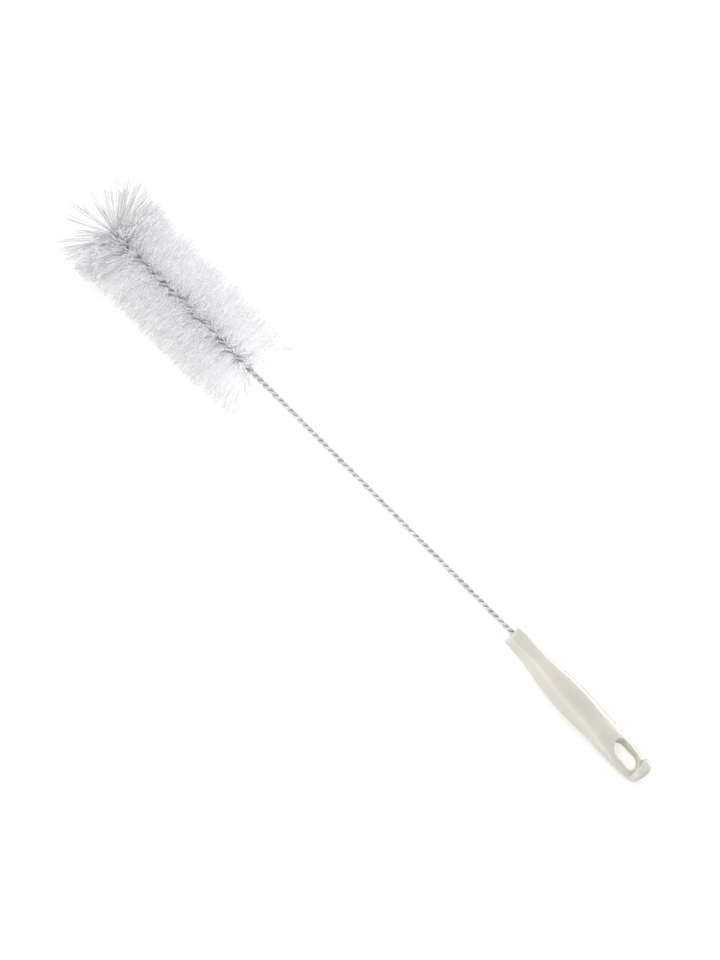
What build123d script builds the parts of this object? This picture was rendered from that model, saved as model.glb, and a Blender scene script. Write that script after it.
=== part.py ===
from build123d import *
import os
from math import atan2, cos, degrees, radians, sin

# Bottle brush: one steel wire bent double and twisted, filaments held between its
# two legs, a tuft in the bend at the tip, and a moulded handle with a slot and a lip.
# Millimetres. Each piece is drawn along the brush's own axis: Z runs from the
# bend at the tip to the handle's end, Y is up and X is sideways. The last
# section lays the brush down as it rests, with its length along X and Z up.

# the wire
wire_diameter = 1.7
leg_gap = 0.02
plain_pitch = 7.8
head_pitch = 12.7
change_length = 4.0
loop_length = 14.0
loop_width = 7.5
loop_widest = 5.0
stem_shown = 202.0
tail_length = 38.0

# the filaments, drawn as locks of many fine ones
head_diameter = 55.0
head_length = 92.0
locks_per_turn = 30
lock_width = 0.5
lock_depth = 0.56
lock_clearance = 0.02
splay_length = 12.0
rear_splay = 24.0
front_splay = 14.0

# the tuft at the tip, whose reach is a share of the head's radius
tuft_reach_share = 1.127
tuft_rings = [(18.0, 4), (40.0, 8), (62.0, 10), (84.0, 12)]
bundle_length = 3.2
bundle_side_gap = 0.15
bundle_front_gap = 0.3

# the handle: its sections, each as a share of the handle's length, then the width,
# the height over and under the widest line, how far that line lies below the wire,
# and how square the outline is, from 0.6 for an ellipse to 1.1
handle_length = 108.0
handle_sections = [
    (0.0, 10.0, 5.3, 5.3, 1.8, 1.1),
    (0.13, 10.7, 6.1, 5.4, 2.7, 1.1),
    (0.278, 14.1, 8.9, 5.2, 5.7, 0.95),
    (0.37, 17.2, 9.5, 5.0, 6.4, 0.88),
    (0.481, 19.0, 9.4, 4.8, 6.6, 0.8),
    (0.796, 19.1, 4.8, 3.2, 7.9, 0.75),
    (0.898, 17.7, 3.4, 2.8, 8.9, 0.7),
    (0.954, 15.7, 2.0, 2.2, 9.5, 0.65),
]
front_round = 2.0
lip_length = 6.2
lip_width = 15.9
lip_rise = 7.0
lip_belly = 3.9
lip_drop = 7.95
lip_square = 0.75
lip_bow = 9.5
lip_front_round = 1.2
lip_end_round = 2.4
slot_length = 18.5
slot_width = 10.0
slot_wall = 6.5
rim_round = 0.9
bore_clearance = 0.12

# worked out from the above
wire_radius = wire_diameter / 2
plain_radius = wire_radius + leg_gap / 2
head_radius = head_diameter / 2
lock_reach = lock_depth / 2 + wire_radius * sin(radians(rear_splay))
legs_turn = radians(360) * lock_reach / head_pitch
head_leg_radius = (wire_radius + lock_width / 2 + lock_clearance) / cos(legs_turn)
tuft_reach = tuft_reach_share * head_radius
bundle_diameter = loop_width - 2 * wire_diameter - 2 * bundle_side_gap
bundle_station = wire_diameter + bundle_front_gap + bundle_diameter / 2
head_end = loop_length + head_length
plain_start = head_end + change_length
handle_front = plain_start + stem_shown
stem_end = handle_front + tail_length
plain_length = stem_end - plain_start
lock_step = head_pitch / locks_per_turn
lip_front = handle_length - lip_length


def degrees_turned(length, pitch):
    """The twist is left-handed, so the legs turn backwards as they go up the axis."""
    return -360 * length / pitch


def leg():
    """Half of the wire, from the middle of the bend at the tip to one end in the handle."""
    in_head = Pos(0, 0, loop_length) * Helix(head_pitch, head_length, head_leg_radius, lefthand=True)
    change_turn = (degrees_turned(change_length, head_pitch) + degrees_turned(change_length, plain_pitch)) / 2
    start_turn = degrees_turned(head_length, head_pitch) + change_turn
    plain = Helix(plain_pitch, plain_length, plain_radius, lefthand=True)
    plain = Pos(0, 0, plain_start) * Rot(0, 0, start_turn) * plain
    change = Spline(in_head @ 1, plain @ 0, tangents=[in_head % 1, plain % 0])
    bend = (0, 0, wire_radius)
    side = ((loop_width - wire_diameter) / 2, 0, loop_widest)
    loop = Spline(bend, side, in_head @ 0, tangents=[(1, 0, 0), in_head % 0])
    path = Wire([loop, in_head, change, plain])
    start = Plane(origin=bend, z_dir=(1, 0, 0))
    return sweep(start * Circle(wire_radius), path=path)


def stem():
    half = leg()
    return half + Rot(0, 0, 180) * half


def lock(station, turn, splay):
    """A lock that passes between the legs, with both ends bent the same way along the axis."""
    if splay == 0:
        whole = Box(lock_width, head_diameter, lock_depth)
        return Pos(0, 0, station) * Rot(0, 0, turn) * whole
    half = Box(lock_width, head_radius + lock_depth / 2, lock_depth)
    half = Pos(0, head_radius / 2 - lock_depth / 4, 0) * half
    half = Rot(splay, 0, 0) * half
    return Pos(0, 0, station) * Rot(0, 0, turn) * (half + Rot(0, 0, 180) * half)


def splay_at(station):
    from_front = station - loop_length
    from_rear = head_end - station
    if from_rear < splay_length:
        return rear_splay * (1 - from_rear / splay_length)
    if from_front < splay_length:
        return -front_splay * (1 - from_front / splay_length)
    return 0


def head():
    """Locks at equal steps along the head, each turned with the legs that hold it."""
    locks = []
    for i in range(int(head_length / lock_step)):
        station = loop_length + (i + 0.5) * lock_step
        turn = degrees_turned(station - loop_length, head_pitch)
        locks.append(lock(station, turn, splay_at(station)))
    return locks[0].fuse(*locks[1:])


def bar(start, end, thickness):
    """A square bar between two points, a little longer than their distance."""
    start = Vector(*start)
    end = Vector(*end)
    along = Plane(origin=(start + end) / 2, z_dir=end - start)
    return along * Box(thickness, thickness, (end - start).length + thickness / 2)


def tuft():
    """A bundle through the bend of the wire, with locks that fan out in front of it on both sides."""
    middle = Vector(0, 0, bundle_station)
    bundle = Pos(middle) * Rot(90, 0, 0) * Cylinder(bundle_diameter / 2, bundle_length)
    spread = (bundle_diameter - lock_width - bundle_side_gap) / 2
    end = (bundle_length - lock_width) / 2
    locks = []
    for ring, count in tuft_rings:
        for i in range(count):
            around = radians(360 * (i + 0.5) / count)
            forward = -cos(radians(ring))
            sideways = sin(radians(ring)) * cos(around)
            upward = sin(radians(ring)) * sin(around)
            side = 1 if upward > 0 else -1
            root = middle + Vector(spread * sideways, side * end, spread * forward)
            tip = Vector(sideways, upward, forward) * tuft_reach
            locks.append(bar(root, middle + tip, lock_width))
    return bundle.fuse(*locks)


def half_outline(width, height, square):
    """Half of a section, from one side over to the other; a negative height takes it under."""
    side = width / 2
    crown = (1.6 - 0.5 * square) * height
    first = [(side, 0), (side, square * height), (square * side, crown)]
    last = [(-square * side, crown), (-side, square * height), (-side, 0)]
    return Bezier(*first, *last)


def section(station, width, rise, belly, drop, square):
    over = half_outline(width, rise, square)
    under = half_outline(width, -belly, square)
    return Pos(0, -drop, handle_front + station) * make_face([over, under])


def slot():
    """The hanging slot, cut straight through the flat end of the handle."""
    middle = handle_front + handle_length - slot_wall - slot_length / 2
    outline = Plane.XZ * SlotOverall(slot_length, slot_width, rotation=90)
    return Pos(0, 0, middle) * extrude(outline, handle_length / 2, both=True)


def lip():
    """The raised lip across the end, rounded in front and behind, and bowed when seen from above."""
    outline = section(lip_front, lip_width, lip_rise, lip_belly, lip_drop, lip_square)
    from_above = extrude(Plane.XZ * Ellipse(lip_bow, lip_length), handle_length / 2, both=True)
    bowed = extrude(outline, lip_length) & Pos(0, 0, handle_front + lip_front) * from_above
    bowed = fillet(bowed.faces().sort_by(Axis.Z)[-1].edges(), lip_end_round)
    return fillet(bowed.faces().sort_by(Axis.Z)[0].edges(), lip_front_round)


def handle():
    """A loft along the sections, opened by the slot with rounded rims, with the lip added behind it."""
    grip = loft([section(share * handle_length, *sizes) for share, *sizes in handle_sections])
    grip = fillet(grip.faces().sort_by(Axis.Z)[0].edges(), front_round)
    cutter = slot()
    opened = grip - cutter
    opened = fillet(new_edges(grip, cutter, combined=opened), rim_round)
    bore_depth = tail_length + wire_radius
    bore = Cylinder(plain_radius + wire_radius + bore_clearance, bore_depth)
    return opened + lip() - Pos(0, 0, handle_front + bore_depth / 2) * bore


# the brush lies on the last straight locks of the head and on the underside of the handle's end
half_turn_step = radians(180 / locks_per_turn)
head_low = head_radius * cos(half_turn_step) + lock_width / 2 * sin(half_turn_step)
head_rest = head_end - splay_length
handle_rest = handle_front + handle_length - lip_end_round
tilt = atan2(head_low - lip_drop - lip_belly, handle_rest - head_rest)
lying = Plane(origin=(0, 0, 0), x_dir=(0, 1, 0), z_dir=(cos(tilt), 0, -sin(tilt)))

pieces = {
    "stem_wire": stem(),
    "handle": handle(),
    "head_filaments": head(),
    "tip_tuft": tuft(),
}
laid = {name: lying * piece for name, piece in pieces.items()}
boxes = [piece.bounding_box() for piece in laid.values()]
middle_x = (min(b.min.X for b in boxes) + max(b.max.X for b in boxes)) / 2
middle_y = (min(b.min.Y for b in boxes) + max(b.max.Y for b in boxes)) / 2
floor = min(b.min.Z for b in boxes)
print("tilt", round(degrees(tilt), 3), "shift", round(-middle_x, 3), round(-middle_y, 3), round(-floor, 3))

os.makedirs("parts", exist_ok=True)
for name, piece in laid.items():
    placed = Pos(-middle_x, -middle_y, -floor) * piece
    export_step(placed, f"parts/{name}.step")
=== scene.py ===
import math
import random
import bmesh
import bpy
from mathutils import Matrix, Vector


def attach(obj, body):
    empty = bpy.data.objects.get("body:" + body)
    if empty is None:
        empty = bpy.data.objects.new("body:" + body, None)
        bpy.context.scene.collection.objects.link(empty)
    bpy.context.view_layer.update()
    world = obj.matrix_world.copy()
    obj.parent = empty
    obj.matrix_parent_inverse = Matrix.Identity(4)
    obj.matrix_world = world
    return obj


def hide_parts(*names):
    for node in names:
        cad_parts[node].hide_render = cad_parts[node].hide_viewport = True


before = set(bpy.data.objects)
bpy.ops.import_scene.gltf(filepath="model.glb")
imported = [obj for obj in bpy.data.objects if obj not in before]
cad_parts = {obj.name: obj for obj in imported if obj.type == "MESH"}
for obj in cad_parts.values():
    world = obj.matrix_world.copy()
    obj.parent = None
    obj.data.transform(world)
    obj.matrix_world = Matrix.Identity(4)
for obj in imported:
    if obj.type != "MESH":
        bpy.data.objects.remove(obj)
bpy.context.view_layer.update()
bpy.ops.object.select_all(action="DESELECT")
bpy.context.scene.view_settings.view_transform = "Standard"

# how the brush lies: the place of the wire's bend at the tip, and the drop towards the handle
brushLine = {
    "tiltDeg": 2.747,
    "bendX": -0.196639,
    "bendZ": 0.031994,
}
tilt = math.radians(brushLine["tiltDeg"])
brushSide = Vector((0, 1, 0))
brushUp = Vector((math.sin(tilt), 0, math.cos(tilt)))
brushAxis = Vector((math.cos(tilt), 0, -math.sin(tilt)))
# pieces are first placed sideways, up and along the brush, then laid down with this
brushTurn = Matrix((brushSide, brushUp, brushAxis)).transposed().to_4x4()
brushPlace = Matrix.Translation((brushLine["bendX"], 0, brushLine["bendZ"])) @ brushTurn


def direction(around, above):
    level = math.cos(above)
    return Vector((level * math.cos(around), level * math.sin(around), math.sin(above)))


# camera, floor and lights
cameraSet = {
    "station": 0.1932,    # the place along the brush that is in the middle of the picture
    "distance": 1.8,
    "azimuthDeg": -86,
    "elevationDeg": 59,
    "rollDeg": 45.1,      # the brush runs to the lower right
    "lensMm": 122.7,
    "sensorMm": 36,
    "sight": 20,          # how far the camera sees
}


def addCamera(facts):
    toCamera = direction(math.radians(facts["azimuthDeg"]), math.radians(facts["elevationDeg"]))
    alongPicture = (brushAxis - toCamera * brushAxis.dot(toCamera)).normalized()
    acrossPicture = toCamera.cross(alongPicture)
    roll = math.radians(facts["rollDeg"])
    right = alongPicture * math.cos(roll) + acrossPicture * math.sin(roll)
    above = toCamera.cross(right)
    lay = Matrix((right, above, toCamera)).transposed().to_euler()
    middle = brushPlace @ Vector((0, 0, facts["station"]))
    bpy.ops.object.camera_add(location=middle + toCamera * facts["distance"], rotation=lay)
    camera = bpy.context.object
    camera.name = "pictureCamera"
    camera.data.lens = facts["lensMm"]
    camera.data.sensor_fit = "VERTICAL"
    camera.data.sensor_height = facts["sensorMm"]
    camera.data.clip_end = facts["sight"]
    bpy.context.scene.camera = camera


# a wide soft light in front, one over the head, one off the tip and a strip behind the handle
lights = {
    "key": {"at": (0.1, -1.5, 0.8), "towards": (0, 0, 0.02), "size": (1.6, 1.2), "watts": 12.5},
    "overTip": {"at": (-0.4, -0.1, 0.8), "towards": (-0.15, 0, 0.02), "size": (0.7, 0.7), "watts": 5.5},
    "tipSide": {"at": (-1.3, -0.6, 0.4), "towards": (-0.15, 0, 0.02), "size": (0.9, 0.7), "watts": 5},
    "farStrip": {"at": (0.28, 0.6, 0.14), "towards": (0.17, 0, 0), "size": (0.6, 0.2), "watts": 3},
}


def addLight(name, facts):
    place = Vector(facts["at"])
    aim = Vector(facts["towards"]) - place
    bpy.ops.object.light_add(type="AREA", location=place, rotation=aim.to_track_quat("-Z", "Y").to_euler())
    light = bpy.context.object
    light.name = name
    light.data.shape = "RECTANGLE"
    light.data.size, light.data.size_y = facts["size"]
    light.data.energy = facts["watts"]


# a source is a socket of another node, or a plain value
def feed(tree, source, socket):
    if isinstance(source, bpy.types.NodeSocket):
        tree.links.new(source, socket)
    else:
        socket.default_value = source


def addMath(tree, operation, first, second):
    node = tree.nodes.new("ShaderNodeMath")
    node.operation = operation
    feed(tree, first, node.inputs[0])
    feed(tree, second, node.inputs[1])
    return node.outputs["Value"]


def addRange(tree, sources):
    node = tree.nodes.new("ShaderNodeMapRange")
    for socket, source in sources.items():
        feed(tree, source, node.inputs[socket])
    return node.outputs["Result"]


# the second shader shows over the first by the share
def mixShaders(tree, share, first, second):
    mix = tree.nodes.new("ShaderNodeMixShader")
    tree.links.new(share, mix.inputs["Fac"])
    tree.links.new(first, mix.inputs[1])
    tree.links.new(second, mix.inputs[2])
    tree.links.new(mix.outputs["Shader"], tree.nodes["Material Output"].inputs["Surface"])


room = {
    "floorSize": 6,
    "floorColour": (0.93, 0.93, 0.93, 1),
    "floorRough": 0.9,
    "floorGloss": 0.1,
    "floorWhite": 0.6,    # how far the camera sees the floor as plain white
    "worldLevel": 0.68,   # the light of the room, which the camera and gloss see as plain white
}


def setWorld(facts):
    world = bpy.data.worlds.new("paleRoom")
    bpy.context.scene.world = world
    world.use_nodes = True
    tree = world.node_tree
    background = tree.nodes["Background"]
    background.inputs["Color"].default_value = (1, 1, 1, 1)
    rays = tree.nodes.new("ShaderNodeLightPath").outputs
    seen = addMath(tree, "MAXIMUM", rays["Is Camera Ray"], rays["Is Glossy Ray"])
    strength = addRange(tree, {"Value": seen, "To Min": facts["worldLevel"], "To Max": 1})
    tree.links.new(strength, background.inputs["Strength"])


def addFloor(facts):
    bpy.ops.mesh.primitive_plane_add(size=facts["floorSize"], location=(0, 0, 0))
    floor = bpy.context.object
    floor.name = "floor"
    material = bpy.data.materials.new("paleFloor")
    material.use_nodes = True
    tree = material.node_tree
    shader = tree.nodes["Principled BSDF"]
    shader.inputs["Base Color"].default_value = facts["floorColour"]
    shader.inputs["Roughness"].default_value = facts["floorRough"]
    shader.inputs["Specular IOR Level"].default_value = facts["floorGloss"]
    white = tree.nodes.new("ShaderNodeEmission")
    rays = tree.nodes.new("ShaderNodeLightPath").outputs
    share = addMath(tree, "MULTIPLY", rays["Is Camera Ray"], facts["floorWhite"])
    mixShaders(tree, share, shader.outputs["BSDF"], white.outputs["Emission"])
    floor.data.materials.append(material)


addCamera(cameraSet)
for lightName, lightFacts in lights.items():
    addLight(lightName, lightFacts)
setWorld(room)
addFloor(room)
print("camera, lights and floor placed")

# a finish: soft patches between two colours, with a finer grain for roughness and bump
toneSet = {
    "patchDetail": 3,
    "grainDetail": 5,
    "patchRange": (0.32, 0.68),    # the noise values where the patches reach their two colours
    "grainRange": (0.3, 0.7),
    "inputs": {"Place": "Vector", "Patch Scale": "Float", "Grain Scale": "Float", "Dark": "Color",
               "Light": "Color", "Smooth": "Float", "Rough": "Float"},
    "outputs": {"Colour": "Color", "Roughness": "Float", "Height": "Float"},
}


def addNoise(tree, place, scale, detail):
    noise = tree.nodes.new("ShaderNodeTexNoise")
    noise.inputs["Detail"].default_value = detail
    tree.links.new(place, noise.inputs["Vector"])
    tree.links.new(scale, noise.inputs["Scale"])
    return noise.outputs["Fac"]


def newToneGroup(facts):
    group = bpy.data.node_groups.new("toneAndGrain", "ShaderNodeTree")
    for side, sockets in (("INPUT", facts["inputs"]), ("OUTPUT", facts["outputs"])):
        for name, kind in sockets.items():
            group.interface.new_socket(name=name, in_out=side, socket_type="NodeSocket" + kind)
    given = group.nodes.new("NodeGroupInput").outputs
    made = group.nodes.new("NodeGroupOutput").inputs
    patches = addNoise(group, given["Place"], given["Patch Scale"], facts["patchDetail"])
    grain = addNoise(group, given["Place"], given["Grain Scale"], facts["grainDetail"])
    low, high = facts["patchRange"]
    spread = addRange(group, {"Value": patches, "From Min": low, "From Max": high})
    tone = group.nodes.new("ShaderNodeMix")
    tone.data_type = "RGBA"
    darkSocket, lightSocket = [socket for socket in tone.inputs if socket.type == "RGBA"]
    group.links.new(spread, tone.inputs["Factor"])
    group.links.new(given["Dark"], darkSocket)
    group.links.new(given["Light"], lightSocket)
    colour = [socket for socket in tone.outputs if socket.type == "RGBA"][0]
    low, high = facts["grainRange"]
    polish = addRange(group, {"Value": grain, "From Min": low, "From Max": high,
                              "To Min": given["Smooth"], "To Max": given["Rough"]})
    group.links.new(colour, made["Colour"])
    group.links.new(polish, made["Roughness"])
    group.links.new(grain, made["Height"])
    return group


def newMaterial(name, group, facts):
    material = bpy.data.materials.new(name)
    material.use_nodes = True
    nodes, links = material.node_tree.nodes, material.node_tree.links
    shader = nodes["Principled BSDF"]
    place = nodes.new("ShaderNodeTexCoord")
    tone = nodes.new("ShaderNodeGroup")
    tone.node_tree = group
    links.new(place.outputs["Object"], tone.inputs["Place"])
    for socket in ("Patch Scale", "Grain Scale", "Dark", "Light", "Smooth", "Rough"):
        tone.inputs[socket].default_value = facts[socket]
    bump = nodes.new("ShaderNodeBump")
    bump.inputs["Strength"].default_value = facts["bumpStrength"]
    bump.inputs["Distance"].default_value = facts["bumpDepth"]
    links.new(tone.outputs["Height"], bump.inputs["Height"])
    links.new(tone.outputs["Colour"], shader.inputs["Base Color"])
    links.new(tone.outputs["Roughness"], shader.inputs["Roughness"])
    links.new(bump.outputs["Normal"], shader.inputs["Normal"])
    for socket, value in facts["shader"].items():
        shader.inputs[socket].default_value = value
    return material


galvanisedSteel = {
    "Patch Scale": 260, "Grain Scale": 1800,
    "Dark": (0.37, 0.392, 0.403, 1), "Light": (0.515, 0.54, 0.55, 1),
    "Smooth": 0.5, "Rough": 0.7, "bumpStrength": 0.35, "bumpDepth": 0.00004,
    "shader": {"Metallic": 0.45},
}
creamPlastic = {
    "Patch Scale": 45, "Grain Scale": 2600,
    "Dark": (0.46, 0.443, 0.388, 1), "Light": (0.52, 0.499, 0.438, 1),
    "Smooth": 0.2, "Rough": 0.34, "bumpStrength": 0.12, "bumpDepth": 0.00003,
    "shader": {"Subsurface Weight": 0.1, "Subsurface Scale": 0.002},
}
whiteNylon = {
    "Patch Scale": 420, "Grain Scale": 2200,
    "Dark": (0.922, 0.925, 0.978, 1), "Light": (0.963, 0.965, 0.998, 1),
    "Smooth": 0.25, "Rough": 0.45, "bumpStrength": 0.1, "bumpDepth": 0.00002,
    "shader": {"Subsurface Weight": 0.5, "Subsurface Radius": (1, 1, 1), "Subsurface Scale": 0.003},
    "greyest": 0.88,      # the shade of the darkest filament
    "paintedShadeFrom": 0.4,      # the share of its length from which painted shade makes a filament greyer
    "paintedEndShade": 0.55,      # and how grey the painted shade makes its free end
    "letThrough": 0.92,   # the share of shadow and soft light that passes through a filament
}
# the few filaments at the tip stand alone against the pale room, so they look greyer; their darker colours
# and greyer ends are painted shade
tipNylon = {
    "Patch Scale": 420, "Grain Scale": 2200,
    "Dark": (0.8, 0.8, 0.82, 1), "Light": (0.9, 0.9, 0.92, 1),
    "Smooth": 0.3, "Rough": 0.5, "bumpStrength": 0.1, "bumpDepth": 0.00002,
    "shader": {},
    "greyest": 0.74,
    "paintedShadeFrom": 0.4,
    "paintedEndShade": 0.68,
    "letThrough": 0.8,
}


# each filament has its own shade, painted shade makes it greyer towards its free end, and it lets some light
# through
def finishNylon(material, facts):
    tree = material.node_tree
    shader = tree.nodes["Principled BSDF"]
    strand = tree.nodes.new("ShaderNodeUVMap")
    strand.uv_map = "strand"
    parts = tree.nodes.new("ShaderNodeSeparateXYZ")
    tree.links.new(strand.outputs["UV"], parts.inputs["Vector"])
    # painted shade: the filament's colour darkens towards its free end
    along = addRange(tree, {"Value": parts.outputs["X"], "From Min": facts["paintedShadeFrom"],
                            "To Min": 1, "To Max": facts["paintedEndShade"]})
    own = addRange(tree, {"Value": parts.outputs["Y"], "To Min": facts["greyest"], "To Max": 1})
    shade = tree.nodes.new("ShaderNodeVectorMath")
    shade.operation = "SCALE"
    tree.links.new(shader.inputs["Base Color"].links[0].from_socket, shade.inputs["Vector"])
    tree.links.new(addMath(tree, "MULTIPLY", along, own), shade.inputs["Scale"])
    tree.links.new(shade.outputs["Vector"], shader.inputs["Base Color"])
    rays = tree.nodes.new("ShaderNodeLightPath").outputs
    soft = addMath(tree, "MAXIMUM", rays["Is Shadow Ray"], rays["Is Diffuse Ray"])
    through = addMath(tree, "MULTIPLY", soft, facts["letThrough"])
    clear = tree.nodes.new("ShaderNodeBsdfTransparent")
    mixShaders(tree, through, shader.outputs["BSDF"], clear.outputs["BSDF"])


toneGroup = newToneGroup(toneSet)
steelMaterial = newMaterial("galvanisedWire", toneGroup, galvanisedSteel)
plasticMaterial = newMaterial("creamPlastic", toneGroup, creamPlastic)
nylonMaterial = newMaterial("whiteNylon", toneGroup, whiteNylon)
finishNylon(nylonMaterial, whiteNylon)
tipMaterial = newMaterial("tipNylon", toneGroup, tipNylon)
finishNylon(tipMaterial, tipNylon)
for nodeName, nodeMaterial in (("stem_wire", steelMaterial), ("handle", plasticMaterial)):
    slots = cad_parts[nodeName].data.materials
    slots.clear()
    slots.append(nodeMaterial)
print("wire and handle have their finishes")


def onlyPick(piece):
    bpy.ops.object.select_all(action="DESELECT")
    piece.select_set(True)
    bpy.context.view_layer.objects.active = piece


def placedCopy(source, place):
    made = source.copy()
    made.data = source.data.copy()
    bpy.context.collection.objects.link(made)
    made.matrix_world = place
    return made


def joined(parts, name):
    bpy.ops.object.select_all(action="DESELECT")
    for part in parts:
        part.select_set(True)
    bpy.context.view_layer.objects.active = parts[0]
    bpy.ops.object.join()
    whole = bpy.context.object
    whole.name = name
    bpy.ops.object.transform_apply(location=True, rotation=True, scale=True)
    return whole


# a filament or lock that points up the Y axis is leaned along the wire, then turned round it
def turned(leanDeg, roundDeg):
    return Matrix.Rotation(math.radians(roundDeg), 4, "Z") @ Matrix.Rotation(math.radians(leanDeg), 4, "X")


# the place of a lock on the lying brush that starts at root and points along aim
def aimedPlace(root, aim):
    return brushPlace @ Matrix.Translation(root) @ aim.to_track_quat("Y", "Z").to_matrix().to_4x4()


# the filaments, made once as locks of a few
filamentSet = {
    "thickness": 0.0004,
    "sides": 3,
    "cuts": 6,
    "rootAcross": 0.00045,    # how far its root may be to a side of the lock's middle
    "rootAlong": 0.0005,      # and along the wire
    "rootSunk": 0.0003,       # how far it starts behind the wire's middle
    "floorGap": 0.0002,       # the height of the ends that lie on the floor
}
lockSet = {
    "kinds": 14,
    "filaments": 8,
    "reach": 0.0284,
    "roundDeg": 10,       # how far its filaments spread round the wire
    "leanDeg": 5.5,       # and along the wire
    "shorter": 0.13,      # the share of its length that the shortest filament lacks
}
tipLockSet = {
    "kinds": 10,
    "filaments": 4,
    "reach": 0.0284,
    "roundDeg": 5,
    "leanDeg": 3,
    "shorter": 0.08,
}


# one straight filament that leaves the wire's middle along Y, with its share of the length as UV x
def makeFilament(length, facts):
    bpy.ops.object.select_all(action="DESELECT")
    bpy.ops.mesh.primitive_cylinder_add(vertices=facts["sides"], radius=facts["thickness"] / 2, depth=length,
                                        location=(0, length / 2, 0), rotation=(math.pi / 2, 0, 0))
    made = bpy.context.object
    bpy.ops.object.transform_apply(location=True, rotation=True, scale=True)
    bpy.ops.object.mode_set(mode="EDIT")
    bpy.ops.mesh.select_mode(type="EDGE")
    bpy.ops.mesh.select_all(action="DESELECT")
    work = bmesh.from_edit_mesh(made.data)
    for edge in work.edges:
        edge.select = edge.calc_length() > length / 2
    bpy.ops.mesh.subdivide(number_cuts=facts["cuts"])
    bpy.ops.object.mode_set(mode="OBJECT")
    bpy.ops.object.shade_smooth()
    strand = made.data.uv_layers[0]
    strand.name = "strand"
    for loop in made.data.loops:
        strand.data[loop.index].uv = (made.data.vertices[loop.vertex_index].co.y / length, 0)
    return made


# a filament's own shade is its UV y
def setShade(piece, shade):
    for corner in piece.data.uv_layers["strand"].data:
        corner.uv.y = shade


def makeLock(name, facts):
    base = makeFilament(facts["reach"], filamentSet)
    parts = []
    for _ in range(facts["filaments"]):
        lean = chance.gauss(0, facts["leanDeg"])
        around = chance.uniform(-1, 1) * facts["roundDeg"]
        length = 1 - facts["shorter"] * chance.random() ** 2
        across = chance.uniform(-1, 1) * filamentSet["rootAcross"]
        along = chance.uniform(-1, 1) * filamentSet["rootAlong"]
        root = Matrix.Translation((across, -filamentSet["rootSunk"], along))
        part = placedCopy(base, root @ turned(lean, around) @ Matrix.Diagonal((1, length, 1, 1)))
        setShade(part, chance.random())
        parts.append(part)
    bpy.data.objects.remove(base)
    return joined(parts, name)


chance = random.Random(24)
locks = [makeLock(f"lock{i}", lockSet) for i in range(lockSet["kinds"])]
tipLocks = [makeLock(f"tipLock{i}", tipLockSet) for i in range(tipLockSet["kinds"])]
print("locks of filaments made")


# filaments gather in clumps, the more so the farther they are from the wire
def clump(piece, facts, reach):
    inverse = brushPlace.inverted()
    group = piece.vertex_groups.new(name="free")
    steps = 10
    levels = {}
    for vertex in piece.data.vertices:
        local = inverse @ vertex.co
        level = round(steps * min(1, math.hypot(local.x, local.y) / reach))
        levels.setdefault(level, []).append(vertex.index)
    for level, indices in levels.items():
        group.add(indices, (level / steps) ** 2, "REPLACE")
    cloud = bpy.data.textures.new("clumping", "CLOUDS")
    cloud.cloud_type = "COLOR"
    cloud.noise_scale = facts["clumpSize"]
    modifier = piece.modifiers.new("clumping", "DISPLACE")
    modifier.texture = cloud
    modifier.texture_coords = "LOCAL"
    modifier.direction = "RGB_TO_XYZ"
    modifier.vertex_group = "free"
    modifier.mid_level = 0.5
    modifier.strength = facts["clumpStrength"]
    onlyPick(piece)
    bpy.ops.object.modifier_apply(modifier="clumping")
    piece.vertex_groups.clear()


# filament ends that would go under the floor lie on it
def restOnFloor(piece, low):
    onlyPick(piece)
    bpy.ops.object.mode_set(mode="EDIT")
    bpy.ops.mesh.select_mode(type="VERT")
    bpy.ops.mesh.select_all(action="DESELECT")
    work = bmesh.from_edit_mesh(piece.data)
    under = [vertex for vertex in work.verts if vertex.co.z < low]
    for vertex in under:
        vertex.select = True
    if under:
        bpy.ops.transform.resize(value=(1, 1, 0), center_override=(0, 0, low), orient_type="GLOBAL")
    bpy.ops.object.mode_set(mode="OBJECT")


def finishFilaments(piece, node, material):
    piece.data.materials.clear()
    piece.data.materials.append(material)
    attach(piece, "root")
    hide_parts(node)


# the head: locks at equal steps along the twisted legs that hold them
headSet = {
    "start": 0.014,           # where the legs come together, from the bend
    "length": 0.092,
    "pitch": 0.0127,
    "locksPerTurn": 30,       # on each side of the wire
    "splayLength": 0.012,     # the locks lean outwards over this length at both ends
    "rearDeg": 21,
    "frontDeg": -10,
    "loosenessDeg": 3.5,
    "pieces": 4,
    "bendRows": [(0.0058, 26), (0.0078, 26), (0.0098, 26), (0.012, 24)],    # stations and counts
    "bendAcross": 0.0008,     # how far to a side the locks of these rows start
    "bendRoot": 0.0014,       # and how far over or under the middle
    "bendNearDeg": -9,        # their lean along the wire on the camera's side
    "bendFarDeg": 16,         # and on the far side
    "clumpStrength": 0.003,
    "clumpSize": 0.008,
}


def splayAt(station, facts):
    fromFront = station - facts["start"]
    fromRear = facts["start"] + facts["length"] - station
    if fromRear < facts["splayLength"]:
        return facts["rearDeg"] * (1 - fromRear / facts["splayLength"])
    if fromFront < facts["splayLength"]:
        return facts["frontDeg"] * (1 - fromFront / facts["splayLength"])
    return 0


# where the legs are still apart, behind the bend, the locks come out over and under them
def bendLocks(facts):
    parts = []
    for station, count in facts["bendRows"]:
        for i in range(count):
            around = 2 * math.pi * (i + chance.random()) / count
            share = (1 + math.cos(around)) / 2
            lean = math.radians(facts["bendNearDeg"] * (1 - share) + facts["bendFarDeg"] * share
                                + chance.gauss(0, facts["loosenessDeg"]))
            aim = direction(around, lean)
            across = facts["bendAcross"] * math.cos(around)
            root = Vector((across, math.copysign(facts["bendRoot"], aim.y), station))
            parts.append(placedCopy(chance.choice(locks), aimedPlace(root, aim)))
    return parts


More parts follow.
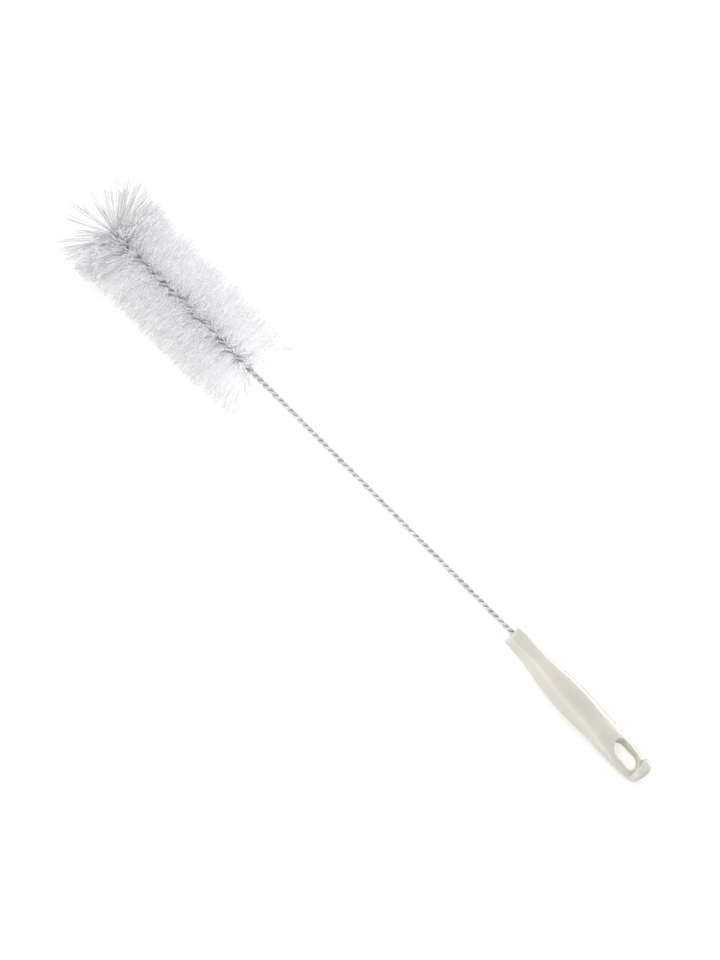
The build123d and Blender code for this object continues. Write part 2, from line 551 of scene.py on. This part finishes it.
def makeHead(facts):
    step = facts["pitch"] / facts["locksPerTurn"]
    count = int(facts["length"] / step)
    groups = [[] for _ in range(facts["pieces"])]
    groups[0].extend(bendLocks(facts))
    for i in range(count):
        station = facts["start"] + (i + 0.5) * step
        turn = -360 * (station - facts["start"]) / facts["pitch"]    # the twist is left-handed
        for side in (0, 180):
            lean = splayAt(station, facts) + chance.gauss(0, facts["loosenessDeg"])
            around = turn + side + chance.gauss(0, facts["loosenessDeg"])
            place = brushPlace @ Matrix.Translation((0, 0, station)) @ turned(lean, around)
            groups[i * facts["pieces"] // count].append(placedCopy(chance.choice(locks), place))
    for number, parts in enumerate(groups):
        piece = joined(parts, f"headFilaments{number + 1}")
        clump(piece, facts, lockSet["reach"])
        restOnFloor(piece, filamentSet["floorGap"])
        finishFilaments(piece, "head_filaments", nylonMaterial)


makeHead(headSet)
print("head filled with filaments")

# the tuft: a bundle through the wire's bend that fans out in front of it
tuftSet = {
    "station": 0.0039,        # the bundle's middle, from the bend
    "bundle": 0.0032,         # its length, over and under the wire together
    "rootShare": 0.9,         # the locks start at this share of the way to its ends
    "spread": 0.0015,         # and this far from its middle towards their own tips
    "reach": 0.0325,          # in front
    "sideReach": 0.0285,
    "narrowFromDeg": 50,      # the ring from which the reach changes to the side's
    "narrowOverDeg": 40,
    # degrees from straight ahead, and the number of locks in each ring
    "rings": [(16, 2), (34, 4), (48, 12), (60, 19), (72, 24), (82, 26), (92, 26), (103, 14)],
    "looseDeg": 4,
    "looseRound": 0.08,       # round the ring, in radians
    "clumpStrength": 0.0015,
    "clumpSize": 0.012,
}


def makeTuft(facts):
    parts = []
    for ring, count in facts["rings"]:
        narrowing = max(0, (ring - facts["narrowFromDeg"]) / facts["narrowOverDeg"])
        reach = facts["reach"] + (facts["sideReach"] - facts["reach"]) * narrowing
        length = reach / tipLockSet["reach"]
        for i in range(count):
            around = 2 * math.pi * (i + 0.5) / count + chance.gauss(0, facts["looseRound"])
            away = math.radians(ring + chance.gauss(0, facts["looseDeg"]))
            level = math.sin(away)
            aim = Vector((level * math.cos(around), level * math.sin(around), -math.cos(away)))
            side = 1 if aim.y > 0 else -1
            over = side * facts["bundle"] / 2 * facts["rootShare"]
            root = Vector((aim.x * facts["spread"], over, facts["station"] + aim.z * facts["spread"]))
            place = aimedPlace(root, aim) @ Matrix.Diagonal((1, length, 1, 1))
            parts.append(placedCopy(chance.choice(tipLocks), place))
    piece = joined(parts, "tipFilaments")
    clump(piece, facts, facts["reach"])
    restOnFloor(piece, filamentSet["floorGap"])
    finishFilaments(piece, "tip_tuft", tipMaterial)


makeTuft(tuftSet)
for lock in locks + tipLocks:
    bpy.data.objects.remove(lock)
print("tuft made")
